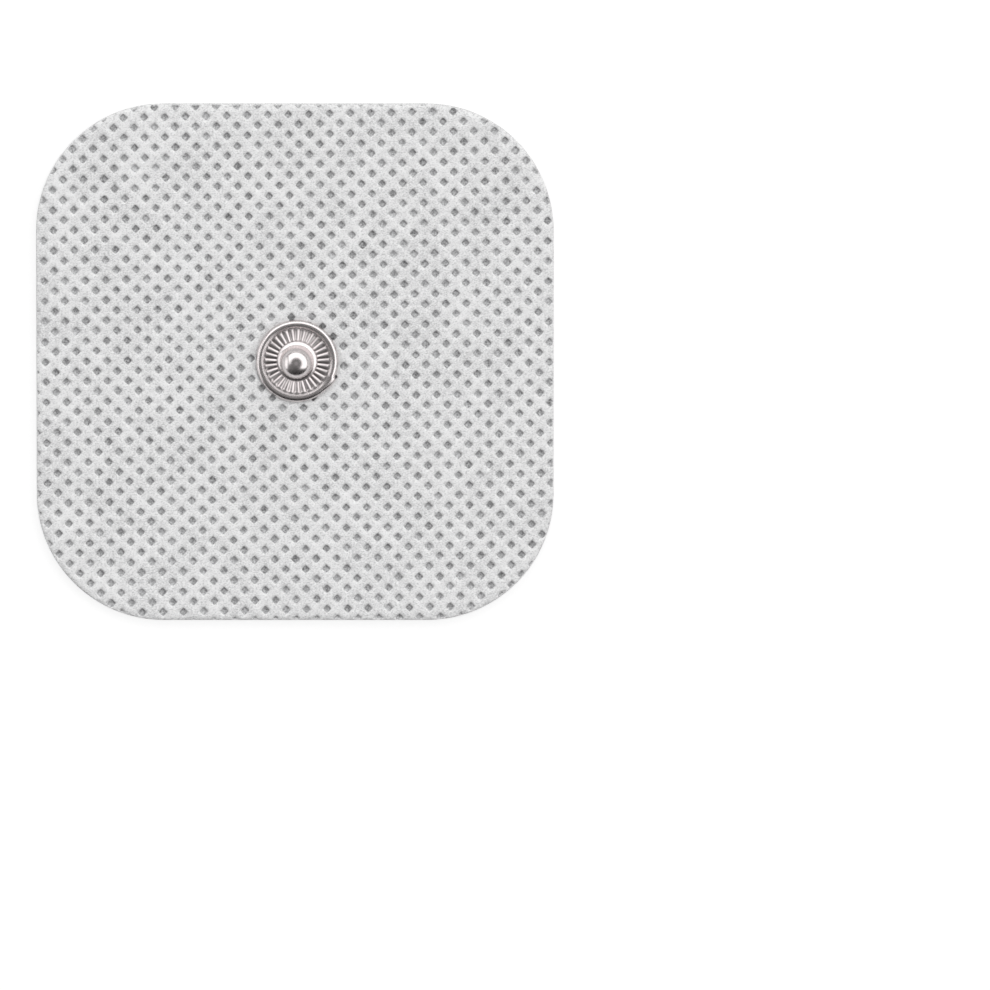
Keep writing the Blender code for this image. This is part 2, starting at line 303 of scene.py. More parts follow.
def dimmed(colour, factor):
    """A colour made darker, or paler by a factor above 1."""
    return tuple(channel * factor for channel in colour[:3]) + (1.0,)


# Each set of fibres has a turn, a width in mm and a shift of its noise.
FIBRES = ((0.1, 0.10, 3.1), (0.9, 0.09, 7.7), (2.2, 0.11, 1.9), (-0.25, 0.08, 5.3))
FIBRE_LENGTH = 1.6 * MM
FIBRE_SHARPNESS = 9.0
PATCH_SIZE = 2.6 * MM
FLUFF_SIZE = 0.16 * MM
GRAIN_LENGTH = 0.19 * MM
GRAIN_WIDTH = 0.12 * MM
SPECK_SIZE = 0.14 * MM
SPECK_EDGE = (0.70, 0.80)
CLOTH_RELIEF = 0.035 * MM

# How much darker and paler than its colour a bond is in places.
BOND_DARK = 0.36
BOND_PALE = 1.75


def cloth_material(settings):
    """White nonwoven: crossing fibres, fused grey and smooth in the bonds."""
    material = bpy.data.materials.new("nonwoven")
    recipe = Recipe(material)
    place = recipe.place()
    bond = recipe.painted("bond")
    tone = recipe.painted("tone")
    pressed = recipe.painted("pressed")
    fibres = None
    for turn, wide, shift in FIBRES:
        streak = recipe.streaks(place, turn, FIBRE_LENGTH, wide * MM, shift)
        line = streak.lines(FIBRE_SHARPNESS)
        fibres = line if fibres is None else fibres.at_least(line)
    patches = recipe.noise(place, PATCH_SIZE, detail=3.0)
    fluff = recipe.noise(place, FLUFF_SIZE)
    grain = recipe.streaks(place, 0.0, GRAIN_LENGTH, GRAIN_WIDTH, shift=6.1)
    speck = recipe.noise(place, SPECK_SIZE, detail=1.0).eased(*SPECK_EDGE)
    loose = (grain - 0.5) * 2.5 + (fluff - 0.5) * 0.9 + (patches - 0.5) * 0.9
    cover = (fibres * 0.35 + loose + 0.50).clipped()
    cloth = recipe.blend(cover, settings.cloth_shade, settings.cloth_colour)
    cloth = recipe.blend(speck * 0.5, cloth, settings.bond_colour)
    dark = dimmed(settings.bond_colour, BOND_DARK)
    pale = dimmed(settings.bond_colour, BOND_PALE)
    melted = tone * 0.45 + (fluff - 0.5) * 1.7 + (grain - 0.5) + fibres * 0.25 + 0.16
    fused = recipe.blend(melted.clipped(), dark, pale)
    torn = pressed * (fluff * 1.5 + grain * 1.5 - 0.85).clipped()
    fused = recipe.blend(torn, fused, settings.pressed_colour)
    height = (fibres * 0.6 + fluff * 0.4) * (1.0 - bond * 0.7)
    recipe.surface({
        "Base Color": recipe.blend(bond, cloth, fused),
        "Roughness": 0.92 - bond * 0.42,
        "Specular IOR Level": 0.3,
        "Sheen Weight": 0.05,
        "Normal": recipe.bump(height, CLOTH_RELIEF),
    })
    return material


CLOUD_SIZE = 0.9 * MM
SCRATCH_LENGTH = 2.2 * MM
SCRATCH_WIDTH = 0.03 * MM
SCRATCH_DEPTH = 0.0001 * MM
SCRATCH_SHARPNESS = 22.0


def nickel_material(settings):
    """Bright stamped plate with fine handling scratches, rougher in the grooves, where its colour is
    darkened with painted shade.
    """
    material = bpy.data.materials.new("nickel_plate")
    recipe = Recipe(material)
    place = recipe.place()
    groove = recipe.painted("groove")
    ribbed = recipe.painted("ribbed")
    cloudy = recipe.noise(place, CLOUD_SIZE, detail=3.0)
    scratch = recipe.streaks(place, 0.6, SCRATCH_LENGTH, SCRATCH_WIDTH, shift=2.0)
    scratch = scratch.lines(SCRATCH_SHARPNESS)
    # Painted shade in the grooves, mixed with random cloudy tone in the plate.
    shade_and_clouds = (groove * 0.9 + (cloudy - 0.5) * 0.3).clipped()
    recipe.surface({
        "Base Color": recipe.blend(shade_and_clouds, settings.metal_colour, settings.groove_shade_colour),
        "Metallic": 1.0,
        "Roughness": 0.22 + ribbed * 0.08 + groove * 0.10 + cloudy * 0.04 + scratch * 0.02,
        "Normal": recipe.bump(scratch, SCRATCH_DEPTH),
    })
    return material


def gel_material(settings):
    """Clear, wet gel, a little cloudy."""
    material = bpy.data.materials.new("gel")
    recipe = Recipe(material)
    place = recipe.place()
    cloudy = recipe.noise(place, size=1.8 * MM)
    milky = recipe.blend(cloudy, settings.gel_colour, settings.gel_cloud)
    recipe.surface({
        "Base Color": milky,
        "Roughness": 0.07 + cloudy * 0.10,
        "IOR": 1.36,
        "Transmission Weight": 0.85,
        "Normal": recipe.bump(cloudy, depth=0.02 * MM),
    })
    return material


def film_material(settings):
    """Satin black film with pale scuffs."""
    material = bpy.data.materials.new("carbon_film")
    recipe = Recipe(material)
    place = recipe.place()
    scuff = recipe.streaks(place, turn=0.9, long=6.0 * MM, wide=0.3 * MM, shift=4.0)
    scuff = scuff.eased(0.52, 0.72)
    grain = recipe.noise(place, size=0.08 * MM)
    recipe.surface({
        "Base Color": recipe.blend(scuff, settings.film_colour, settings.film_sheen),
        "Roughness": 0.38 + grain * 0.2 + scuff * 0.1,
        "Normal": recipe.bump(grain, depth=0.006 * MM),
    })
    return material


def disc_material(settings):
    """Satin white film."""
    material = bpy.data.materials.new("insulating_film")
    recipe = Recipe(material)
    place = recipe.place()
    grain = recipe.noise(place, size=0.25 * MM, detail=3.0)
    worn = dimmed(settings.disc_colour, 0.9)
    recipe.surface({
        "Base Color": recipe.blend(grain, settings.disc_colour, worn),
        "Roughness": 0.35 + grain * 0.2,
        "Normal": recipe.bump(grain, depth=0.004 * MM),
    })
    return material


def eyelet_material(settings):
    """Dull nickel plate with drawing marks."""
    material = bpy.data.materials.new("eyelet_metal")
    recipe = Recipe(material)
    place = recipe.place()
    mark = recipe.streaks(place, turn=0.0, long=3.0 * MM, wide=0.06 * MM, shift=1.0)
    worn = dimmed(settings.eyelet_colour, 0.7)
    recipe.surface({
        "Base Color": recipe.blend(mark.eased(0.4, 0.8), settings.eyelet_colour, worn),
        "Metallic": 1.0,
        "Roughness": 0.22 + mark * 0.2,
        "Normal": recipe.bump(mark, depth=0.003 * MM),
    })
    return material


class Skin:
    """The points and faces of one closed mesh while it is made."""

    def __init__(self):
        self.points = []
        self.faces = []

    def add(self, points):
        """Adds points and returns their numbers."""
        first = len(self.points)
        self.points += [tuple(float(value) for value in point) for point in points]
        return list(range(first, len(self.points)))

    def wall(self, upper, lower):
        """Joins two loops of the same count; counter-clockwise loops face outwards."""
        for k, (a, b) in enumerate(zip(upper, lower)):
            after = (k + 1) % len(upper)
            self.faces.append((b, lower[after], upper[after], a))

    def cap(self, loops, dots=(), up=True, has_hole=False):
        """Fills the first loop, through the other loops and the dots, seen from above."""
        numbers = [number for loop in loops for number in loop]
        edges = []
        first = 0
        for loop in loops:
            edges += [(first + k, first + (k + 1) % len(loop)) for k in range(len(loop))]
            first += len(loop)
        hole_start = first - len(loops[-1])
        numbers += list(dots)
        flat = [Vector((self.points[n][0] / MM, self.points[n][1] / MM)) for n in numbers]
        _, _, triangles, sources, _, _ = delaunay_2d_cdt(flat, edges, [], 1, 0.001)
        for triangle in triangles:
            corners = [sources[corner][0] for corner in triangle]
            if has_hole and all(hole_start <= corner < first for corner in corners):
                continue
            face = [numbers[corner] for corner in corners]
            self.faces.append(face if up else face[::-1])

    def finish(self, name, material, values=None):
        """Makes the object, smooth, with values painted at its vertices."""
        mesh = bpy.data.meshes.new(name)
        mesh.from_pydata(self.points, [], self.faces)
        for key, data in (values or {}).items():
            layer = mesh.attributes.new(key, "FLOAT", "POINT")
            layer.data.foreach_set("value", np.asarray(data, dtype=np.float32))
        mesh.validate()
        mesh.shade_smooth()
        mesh.materials.append(material)
        piece = bpy.data.objects.new(name, mesh)
        bpy.context.scene.collection.objects.link(piece)
        return piece


def smoothstep(low, high, x):
    rise = np.clip((x - low) / (high - low), 0.0, 1.0)
    return rise * rise * (3.0 - 2.0 * rise)


def soft_noise(x, y, spacing, seed):
    """Smooth random values from -1 to 1, with lumps of about one spacing."""
    count = int(2.0 * NOISE_REACH / spacing) + 2
    table = np.random.default_rng(seed).uniform(-1.0, 1.0, (count, count))
    across, along = (x + NOISE_REACH) / spacing, (y + NOISE_REACH) / spacing
    i, j = across.astype(int), along.astype(int)
    u, v = across - i, along - j
    u, v = u * u * (3.0 - 2.0 * u), v * v * (3.0 - 2.0 * v)
    near = table[i, j] * (1.0 - u) + table[i + 1, j] * u
    far = table[i, j + 1] * (1.0 - u) + table[i + 1, j + 1] * u
    return near * (1.0 - v) + far * v


def outline(low, high, corner_radius, inset, spacing):
    """A square with round corners, counter-clockwise, drawn in by an inset."""
    middle_x, middle_y = middle(low, high)
    reach_x = (high[0] - low[0]) / 2.0 - corner_radius
    reach_y = (high[1] - low[1]) / 2.0 - corner_radius
    radius = corner_radius - inset
    corner_steps = round(math.pi / 2.0 * corner_radius / spacing)
    points = []
    for quarter, (x, y) in enumerate(((1, 1), (-1, 1), (-1, -1), (1, -1))):
        centre = Vector((middle_x + x * reach_x, middle_y + y * reach_y))
        for step in range(corner_steps + 1):
            turn = math.pi / 2.0 * (quarter + step / corner_steps)
            points.append(centre + radius * Vector((math.cos(turn), math.sin(turn))))
        side = 2.0 * (reach_x if quarter % 2 == 0 else reach_y)
        side_steps = round(side / spacing)
        along = Vector((-math.sin(turn), math.cos(turn))) * side / side_steps
        corner = points[-1].copy()
        points += [corner + along * step for step in range(1, side_steps)]
    return np.array(points)


def ring(radius, count):
    """A circle round the snap, counter-clockwise."""
    turns = np.arange(count) * FULL_TURN / count
    return np.column_stack([SNAP_X + radius * np.cos(turns), SNAP_Y + radius * np.sin(turns)])


def depth_inside(low, high, corner_radius, x, y):
    """How far points lie inside the square with round corners."""
    middle_x, middle_y = middle(low, high)
    over_x = np.abs(x - middle_x) - (high[0] - low[0]) / 2.0 + corner_radius
    over_y = np.abs(y - middle_y) - (high[1] - low[1]) / 2.0 + corner_radius
    beyond = np.hypot(np.maximum(over_x, 0.0), np.maximum(over_y, 0.0))
    return corner_radius - beyond - np.minimum(np.maximum(over_x, over_y), 0.0)


def from_snap(flat):
    """How far points are from the stud's middle."""
    return np.hypot(flat[:, 0] - SNAP_X, flat[:, 1] - SNAP_Y)


def at_height(flat, height):
    """Flat points with a height, or with one height each."""
    return np.column_stack([flat, np.broadcast_to(height, len(flat))])


# Bonds are counted from one near the snap, this many each way.
CELL_REACH = 40

# Mesh points of one bond's cell: on its border, and on rings with a reach and a count of points.
CELL_BORDER = (
    (0.5, -0.5), (0.5, -0.25), (0.5, 0.0), (0.5, 0.25), (-0.25, 0.5), (0.0, 0.5), (0.25, 0.5)
)
BOND_RINGS = ((0.0, 1), (0.196, 20), (0.222, 20), (0.25, 20), (0.34, 10))

# The power of a bond's form: 2 is a circle, and more is squarer.
BOND_POWER = 4.5

# Distances from a bond's middle as shares of its cell, each with its start and end.
FOLLOWS_BOND = (0.23, 0.5)
BOND_COLOUR = (0.191, 0.250)
BOND_WALL = (0.197, 0.254)
PILLOW_RISE = (0.24, 0.46)

# How much bonds differ in size, tone and place, and the seed.
BOND_SEED = 20
SIZE_SPREAD = 0.028
TONE_SPREAD = 0.17
SHIFT_SPREAD = 0.009

# Unevenness of the cloth's upper side: height, size of its lumps and seed.
CLOTH_LUMPS = ((0.008 * MM, 0.45 * MM, 5), (0.012 * MM, 1.5 * MM, 6))

# How far in from the pad's edge the bonds' pits and colour start, and where they are full.
EDGE_TO_PITS = (0.06 * MM, 0.26 * MM)
EDGE_TO_COLOUR = (0.04 * MM, 0.14 * MM)

# The pad's edge: the width over which it thins, its mesh points, and its height's share at the rim.
EDGE_THINNER = 0.6 * MM
EDGE_SPACING = 0.125 * MM
EDGE_INSET = 0.05 * MM
EDGE_CLEAR = 0.09 * MM
ROUNDED_SHARE = 0.72

# Round the stud's seat: where pressed bonds fade, where the cloth starts to rise, and mesh points.
SEAT_TO_PRESSED = (0.12 * MM, 0.52 * MM)
SEAT_MARGIN = 0.04 * MM
SEAT_CLEAR = 0.03 * MM
SEAT_POINTS = 240
HOLE_POINTS = 96


class BondGrid:
    """Where the cloth's bonds are, and how thick it is between them."""

    def __init__(self, settings):
        self.settings = settings
        dice = np.random.default_rng(BOND_SEED)
        row_turn, column_turn = settings.row_turn, settings.column_turn
        row = settings.pitch_x * np.array([math.cos(row_turn), math.sin(row_turn)])
        column = settings.pitch_y * np.array([-math.sin(column_turn), math.cos(column_turn)])
        self.start = np.array([settings.start_x, settings.start_y])
        self.basis = np.column_stack([row + column, row - column])
        count = 2 * CELL_REACH + 1
        self.bond_size = 1.0 + SIZE_SPREAD * dice.standard_normal((count, count))
        self.bond_tone = np.clip(0.5 + TONE_SPREAD * dice.standard_normal((count, count)), 0.0, 1.0)
        self.bond_shift = SHIFT_SPREAD * dice.standard_normal((2, count, count))

    def dots(self):
        """Mesh points in step with the bonds, closer together along their edges."""
        pattern = [np.array(CELL_BORDER)]
        for reach, count in BOND_RINGS:
            turns = np.arange(count) * FULL_TURN / count
            shape = np.column_stack([np.cos(turns), np.sin(turns)])
            pattern.append(reach * np.sign(shape) * np.abs(shape) ** (2.0 / BOND_POWER))
        pattern = np.concatenate(pattern)
        cells = np.arange(-CELL_REACH + 1, CELL_REACH)
        every = np.meshgrid(cells, cells, np.arange(len(pattern)))
        s, t, point = (values.ravel() for values in every)
        across, along = pattern[point].T
        follow = 1.0 - smoothstep(*FOLLOWS_BOND, np.maximum(np.abs(across), np.abs(along)))
        size = 1.0 + (self.bond_size[s + CELL_REACH, t + CELL_REACH] - 1.0) * follow
        shift = self.bond_shift[:, s + CELL_REACH, t + CELL_REACH] * follow
        place = np.column_stack([s + across * size + shift[0], t + along * size + shift[1]])
        return place @ self.basis.T + self.start

    def cells(self, flat):
        """For each point: its bond's numbers and its distance from the bond's middle."""
        place = (flat - self.start) @ np.linalg.inv(self.basis).T
        nearest = np.round(place).astype(int)
        s, t = nearest.T + CELL_REACH
        offset = place - nearest - self.bond_shift[:, s, t].T
        reach = (np.abs(offset) ** BOND_POWER).sum(axis=1) ** (1.0 / BOND_POWER)
        return s, t, reach / self.bond_size[s, t]

    def masks(self, flat):
        """How far each point is in a bond, the bond's tone, and how far the stud presses on it."""
        s, t, reach = self.cells(flat)
        inside = 1.0 - smoothstep(*BOND_COLOUR, reach)
        depth = depth_inside(COVER_LOW, COVER_HIGH, self.settings.corner_radius, *flat.T)
        inside = inside * smoothstep(*EDGE_TO_COLOUR, depth)
        from_seat = from_snap(flat) - self.settings.seat_radius
        pressed = 1.0 - smoothstep(*SEAT_TO_PRESSED, from_seat)
        return inside, self.bond_tone[s, t], pressed * inside

    def thickness(self, flat):
        """The cloth's thickness at each point."""
        settings = self.settings
        x, y = flat.T
        full = COVER_HIGH[2] - COVER_LOW[2]
        _, _, reach = self.cells(flat)
        wall = smoothstep(*BOND_WALL, reach)
        pillow = smoothstep(*PILLOW_RISE, reach)
        high = settings.shoulder + (full - settings.shoulder) * pillow
        for height, spacing, seed in CLOTH_LUMPS:
            high = high + height * soft_noise(x, y, spacing, seed)
        thick = settings.bond_floor + (high - settings.bond_floor) * wall
        depth = depth_inside(COVER_LOW, COVER_HIGH, settings.corner_radius, x, y)
        thick = thick + (high - thick) * (1.0 - smoothstep(*EDGE_TO_PITS, depth))
        uncut = smoothstep(0.0, EDGE_THINNER, depth)
        cut = settings.edge_share + (1.0 - settings.edge_share) * uncut
        seat_radius = settings.seat_radius
        seat_ends = seat_radius - SEAT_MARGIN, seat_radius + settings.seat_ramp
        free = smoothstep(*seat_ends, from_snap(flat))
        seat = np.minimum(thick, settings.seat_thickness)
        return np.minimum(seat + (thick * cut - seat) * free, full)

    def heights(self, flat):
        """Points of the cloth's upper side."""
        return at_height(flat, COVER_LOW[2] + self.thickness(flat))


class PAD_OT_add_cover(bpy.types.Operator):
    """Adds the white nonwoven cover, fused in small diamonds"""

    bl_idname = "electrode_pad.add_cover"
    bl_label = "Fabric Cover"

    def execute(self, context):
        settings = context.scene.pad_cover
        grid = BondGrid(settings)
        edge, shoulder = (
            outline(COVER_LOW, COVER_HIGH, settings.corner_radius, inset, EDGE_SPACING)
            for inset in (0.0, EDGE_INSET)
        )
        dots = grid.dots()
        depth = depth_inside(COVER_LOW, COVER_HIGH, settings.corner_radius, *dots.T)
        off_seat = from_snap(dots) > settings.seat_radius + SEAT_CLEAR
        dots = dots[(depth > EDGE_CLEAR) & off_seat]
        seat = ring(settings.seat_radius, SEAT_POINTS)
        hole = ring(settings.hole_radius, HOLE_POINTS)

        skin = Skin()
        shoulder_top = skin.add(grid.heights(shoulder))
        seat_top = skin.add(grid.heights(seat))
        hole_top = skin.add(at_height(hole, COVER_LOW[2] + settings.seat_thickness))
        dot_numbers = skin.add(grid.heights(dots))
        rounded = grid.heights(edge)
        rounded[:, 2] = COVER_LOW[2] + (rounded[:, 2] - COVER_LOW[2]) * ROUNDED_SHARE
        edge_top = skin.add(rounded)
        edge_bottom = skin.add(at_height(edge, COVER_LOW[2]))
        hole_bottom = skin.add(at_height(hole, COVER_LOW[2]))
        skin.cap([shoulder_top, seat_top, hole_top], dot_numbers, has_hole=True)
        skin.wall(shoulder_top, edge_top)
        skin.wall(edge_top, edge_bottom)
        skin.wall(hole_bottom, hole_top)
        skin.cap([edge_bottom, hole_bottom], up=False, has_hole=True)

        bond, tone, pressed = grid.masks(np.array(skin.points)[:, :2])
        values = {"bond": bond, "tone": tone, "pressed": pressed}
        cover = skin.finish("fabric_cover_cloth", cloth_material(settings), values)
        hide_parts("fabric_cover")
        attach(cover, "root")
        return {"FINISHED"}


def arc(centre, radius, start, end, steps):
    """Points of a section on a circle, between two angles in degrees."""
    turns = np.radians(np.linspace(start, end, steps + 1))
    return [(centre[0] + radius * math.cos(a), centre[1] + radius * math.sin(a)) for a in turns]


def softened(points, corner, reach, steps):
    """A section with one of its corners drawn round, from a reach before it to a reach after."""
    here = Vector(points[corner])
    before = here + (Vector(points[corner - 1]) - here).normalized() * reach
    after = here + (Vector(points[corner + 1]) - here).normalized() * reach
    bend = []
    for step in range(steps + 1):
        t = step / steps
        bend.append(tuple(before * (1 - t) ** 2 + here * 2 * t * (1 - t) + after * t * t))
    return points[:corner] + bend + points[corner + 1:]


def bent(start, lengths, slopes, step):
    """A section that leaves a point and turns through slopes in degrees along its length in mm."""
    count = round(lengths[-1] * MM / step)
    middles = (np.arange(count) + 0.5) * lengths[-1] / count
    turns = np.radians(np.interp(middles, lengths, slopes))
    moves = np.column_stack([np.cos(turns), np.sin(turns)]) * lengths[-1] * MM / count
    return [tuple(point) for point in start + np.cumsum(moves, axis=0)]


# The rim's slopes in degrees, at lengths in mm along its section from where it leaves the ring.
RIM_LENGTHS = (0.0, 0.12, 0.25, 0.37, 0.48, 0.59, 0.69, 0.76, 1.00, 1.18, 1.40, 1.51)
RIM_SLOPES = (0.0, 20.0, 25.0, 23.0, 21.0, 17.0, 2.0, -14.0, -42.0, -65.0, -90.0, -110.0)

# The step along the rim, how far its lip is drawn in, and how far the neck's bend reaches.
RIM_STEP = 0.038 * MM
LIP_INSET = 0.03 * MM
NECK_BEND = 0.09 * MM

# The ribs: mesh points of each, how they differ, their form, and how they rise and fade.
RIB_POINTS = 18
RIB_SEED = 7
RIB_DRIFT = 0.16
RIB_SHARES = (0.85, 1.1)
RIB_CREST = 0.985
RIB_POWER = 1.4
RIB_RISE = 0.17 * MM
RIB_FADE = 0.12 * MM

# The ring's metal is rougher from these radii out to the rim, below this height.
RIBBED_RADII = (1.65 * MM, 1.90 * MM)
RIBBED_TOP = 1.1 * MM

# The head stands aside in full above this height and inside the first of these radii.
ASIDE_HEIGHT = 1.2 * MM
ASIDE_RADII = (1.7 * MM, 2.0 * MM)

# The rim's crease: how it rises and fades in radians from its start, and its dent.
FOLD_RISE = (0.0, math.radians(6.0))
FOLD_FADE = (0.12, 0.5)
CREASE_PLACE = 0.60 * MM
CREASE_WIDTH = 0.10 * MM
CREASE_DEPTH = 0.025 * MM

# The sway of the rim, and the width and heights over which sway and crease set in.
SWAY_OUT = 0.02 * MM
SWAY_DOWN = 0.01 * MM
RIM_WIDTH = 0.41 * MM
RIM_TOP = (0.10 * MM, 0.45 * MM)


def stud_section(settings):
    """The stud's section between two ribs, above its underside: outside down, inside up."""
    sheet = settings.sheet
    slope = math.degrees(settings.neck_slope)
    head_height = STUD_HIGH[2] - STUD_LOW[2] - settings.head_rise
    flat = settings.head_rise / settings.head_radius
    lowest = -math.degrees(math.acos(settings.neck_radius / settings.head_radius))
    round_head = arc((0.0, 0.0), settings.head_radius, 90.0, lowest, 34)[1:]
    head = [(radius, head_height + height * flat) for radius, height in round_head]
    neck_height = head[-1][1]
    foot_centre = (settings.foot_radius, settings.ring_height + settings.foot_fillet)
    foot = arc(foot_centre, settings.foot_fillet, 270.0 - slope, 270.0, 14)
    corner = [head[-3], (settings.neck_radius, neck_height), foot[0]]
    neck = softened(corner, 1, NECK_BEND, 6)[1:-1]
    tube = settings.rim_hollow + sheet
    rim_centre = (settings.rib_end + tube, settings.rim_height)
    rib_radii = np.linspace(settings.foot_radius, settings.rim_start, 11)[1:]
    ribs = [(radius, settings.ring_height) for radius in rib_radii]
    rim = bent((settings.rim_start, settings.ring_height), RIM_LENGTHS, RIM_SLOPES, RIM_STEP)
    lip = [(rim[-1][0] - LIP_INSET, 0.0), (rim_centre[0] + settings.rim_hollow, 0.0)]
    outside = head[:-2] + neck + foot + ribs + rim
    ring_edge = [(rim_centre[0] - settings.rim_hollow, 0.0)]
    inner_rim = arc(rim_centre, settings.rim_hollow, 0.0, 180.0, 6)
    inner_foot = arc(foot_centre, settings.foot_fillet + sheet, 270.0, 270.0 - slope, 6)
    bore = settings.neck_radius - sheet
    inner_radius = settings.head_radius - sheet
    inner_lowest = -math.degrees(math.acos(bore / inner_radius))
    inner_round = arc((0.0, 0.0), inner_radius, inner_lowest, 90.0, 12)[:-1]
    inner_rise = settings.head_rise - sheet
    inner_flat = inner_rise / inner_radius
    inner_head = [(radius, head_height + height * inner_flat) for radius, height in inner_round]
    inside = inner_rim + ring_edge + inner_foot + inner_head
    tips = (head_height + settings.head_rise, head_height + inner_rise)
    return outside + lip + inside, len(outside), tips


class PAD_OT_add_stud(bpy.types.Operator):
    """Adds the stamped metal stud: round head, ribbed ring and rolled rim"""

    bl_idname = "electrode_pad.add_stud"
    bl_label = "Snap Stud"

    def execute(self, context):
        settings = context.scene.pad_stud
        section, outside_count, tips = stud_section(settings)
        ribs = settings.rib_count
        count = RIB_POINTS * ribs
        turns = np.arange(count) * FULL_TURN / count
        dice = np.random.default_rng(RIB_SEED)
        places = turns * ribs / FULL_TURN
        which = np.round(places).astype(int) % ribs
        shifts = dice.normal(0.0, RIB_DRIFT, ribs)
        drift = np.interp(places, np.arange(ribs + 1), np.append(shifts, shifts[0]))
        wave = np.cos(ribs * turns + drift)
        crest = 1.0 - (np.arccos(RIB_CREST * wave) / math.pi) ** RIB_POWER
        crest = crest * dice.uniform(*RIB_SHARES, ribs)[which]
        from_fold = np.angle(np.exp(1j * (settings.fold_azimuth - turns)))
        bulge = smoothstep(*FOLD_RISE, from_fold) * (1.0 - smoothstep(*FOLD_FADE, from_fold))
        sway = 0.3 * np.sin(3.0 * turns + 1.0) + 0.2 * np.sin(5.0 * turns + 2.4)

        skin = Skin()
        rings = []
        grooves = []
        ribbed = []
        rib_end = settings.rib_end
        for number, (radius, height) in enumerate(section):
            on_ribs = number < outside_count
            ramp = smoothstep(settings.rib_start, settings.rib_start + RIB_RISE, radius)
            ramp = ramp * (1.0 - smoothstep(rib_end - RIB_FADE, rib_end + RIB_FADE, radius))
            raised = settings.rib_height * ramp * crest * on_ribs
            rim_share = smoothstep(rib_end, rib_end + RIM_WIDTH, radius)
            top_share = rim_share * smoothstep(*RIM_TOP, height)
            out = rim_share * (settings.fold_bulge * bulge + SWAY_OUT * sway)
            crease = math.exp(-((radius - rib_end - CREASE_PLACE) / CREASE_WIDTH) ** 2)
            down = top_share * (CREASE_DEPTH * crease * bulge + SWAY_DOWN * sway)
            reach = radius + out
            aside = smoothstep(settings.ring_height, ASIDE_HEIGHT, height)
            aside = aside * (1.0 - smoothstep(*ASIDE_RADII, radius))
            x = SNAP_X + settings.head_x * aside + reach * np.cos(turns)
            y = SNAP_Y + settings.head_y * aside + reach * np.sin(turns)
            z = STUD_LOW[2] + np.maximum(height + raised - down, 0.0)
            rings.append(skin.add(np.column_stack([x, y, z])))
            stamped = smoothstep(*RIBBED_RADII, radius) * (height < RIBBED_TOP) * (radius < rib_end)
            ribbed.append(np.broadcast_to(stamped * on_ribs, count))
            # The grooves' mask: rougher plate there, and painted shade in the colour.
            grooves.append(np.clip(ramp * (1.0 - crest) ** 4 * on_ribs, 0.0, 1.0) * np.ones(count))
        for upper, lower in zip(rings, rings[1:]):
            skin.wall(upper, lower)
        tip_x, tip_y = SNAP_X + settings.head_x, SNAP_Y + settings.head_y
        ends = skin.add([(tip_x, tip_y, STUD_LOW[2] + tip) for tip in tips])
        for end, loop, up in ((ends[0], rings[0], True), (ends[1], rings[-1], False)):
            for k, number in enumerate(loop):
                face = (end, number, loop[(k + 1) % count])
                skin.faces.append(face if up else face[::-1])
        values = {"groove": np.concatenate(grooves + [np.zeros(2)])}
        values["ribbed"] = np.concatenate(ribbed + [np.zeros(2)])
        stud = skin.finish("snap_stud_metal", nickel_material(settings), values)
        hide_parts("snap_stud")
        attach(stud, "root")
        return {"FINISHED"}


# The gel's mesh: steps along its edge and across its faces.
GEL_SPACING = 0.35 * MM
GEL_STEPS = np.arange(-25.0, 25.5, 1.0) * MM
GEL_CLEAR = 0.5 * MM
POCKET_POINTS = 120

# Unevenness of the gel's edge and faces: size of its lumps and seed, then its depth.
EDGE_LUMPS = (1.2 * MM, 8)
EDGE_DEPTH = 0.012 * MM
FACE_LUMPS = (3.2 * MM, 9)
FACE_DEPTH = 0.010 * MM

# The pocket follows the disc, which bends down over the eyelet's flange this far in from its edge.
POCKET_BENDS = (1.40 * MM, 1.50 * MM, 1.85 * MM, 1.95 * MM)
DISC_SHEET = 0.08 * MM
GLUE_LINE = 0.03 * MM


